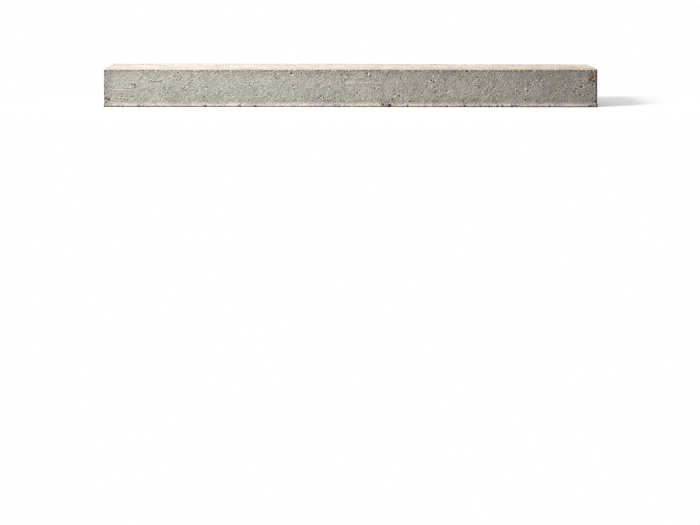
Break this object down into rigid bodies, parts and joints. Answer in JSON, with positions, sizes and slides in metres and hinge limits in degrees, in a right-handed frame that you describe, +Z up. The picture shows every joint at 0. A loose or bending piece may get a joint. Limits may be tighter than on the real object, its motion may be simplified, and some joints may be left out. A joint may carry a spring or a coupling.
{
  "type": "long-format brick",
  "caption": "Slim, long facing brick of grey fired clay, solid, with a thin struck lip round its foot, laid flat in mortar to make long horizontal courses.",
  "frame": {"origin": "centre of the footprint, on the lower bed", "axes": "+X along the brick, +Y from the front stretcher face to the back one, +Z up through the beds"},
  "size_m": [0.5018, 0.1018, 0.038],
  "materials": {
    "fired_clay": "matt, unglazed, sand-fine grain with small pits, greyish cream with a paler lip and beds"
  },
  "bodies": {
    "root": {"brick": "fired_clay"}
  },
  "joints": []
}
